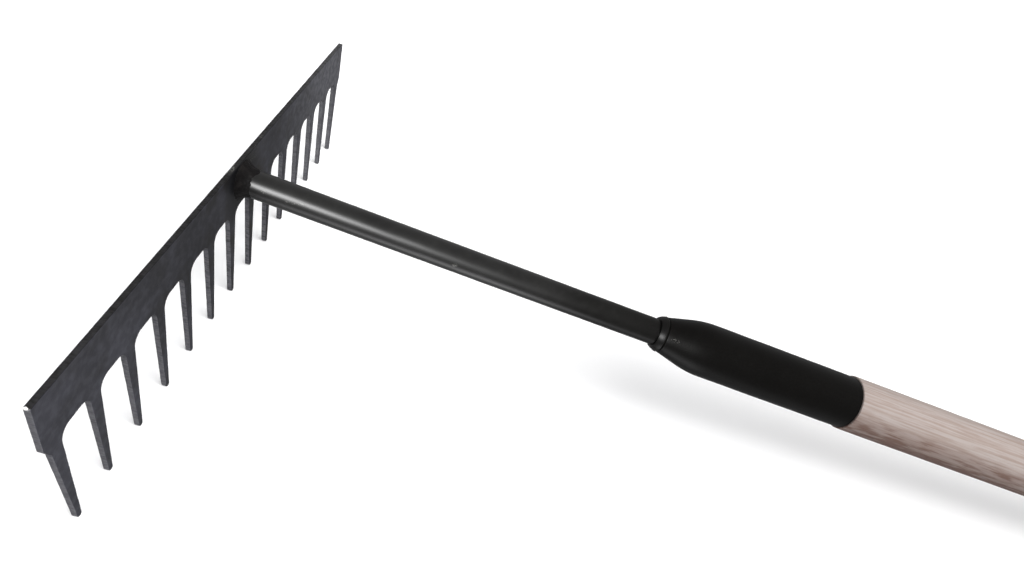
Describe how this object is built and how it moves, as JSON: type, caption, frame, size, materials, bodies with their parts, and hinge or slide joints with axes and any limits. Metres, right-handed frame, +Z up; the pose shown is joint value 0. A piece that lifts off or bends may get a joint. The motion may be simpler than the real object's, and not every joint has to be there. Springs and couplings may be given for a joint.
{
  "type": "garden rake",
  "caption": "Straight-neck garden rake: black coated toothed steel plate welded to a round neck and tapered socket, on a straight wooden handle.",
  "frame": {"origin": "on the floor, under the middle of the whole rake's length and width, as it lies at rest on its tine tips and the butt of its handle", "axes": "+Z up from the floor, +Y from the toothed head towards the grip, +X along the toothed plate"},
  "size_m": [0.3638, 1.8148, 0.0903],
  "materials": {
    "head_coat": "satin black powder coat on flat steel, worn at the corners and tine flanks",
    "shaft_coat": "satin black powder coat on round steel, scuffed in places",
    "handle_wood": "pale sanded hardwood with lengthwise grain, unvarnished",
    "screw_zinc": "zinc plated"
  },
  "bodies": {
    "root": {"toothed_head": "head_coat", "head_weld": "shaft_coat", "neck_bar": "shaft_coat", "socket_weld": "shaft_coat", "socket": "shaft_coat", "handle": "handle_wood", "handle_screw": "screw_zinc"}
  },
  "joints": []
}
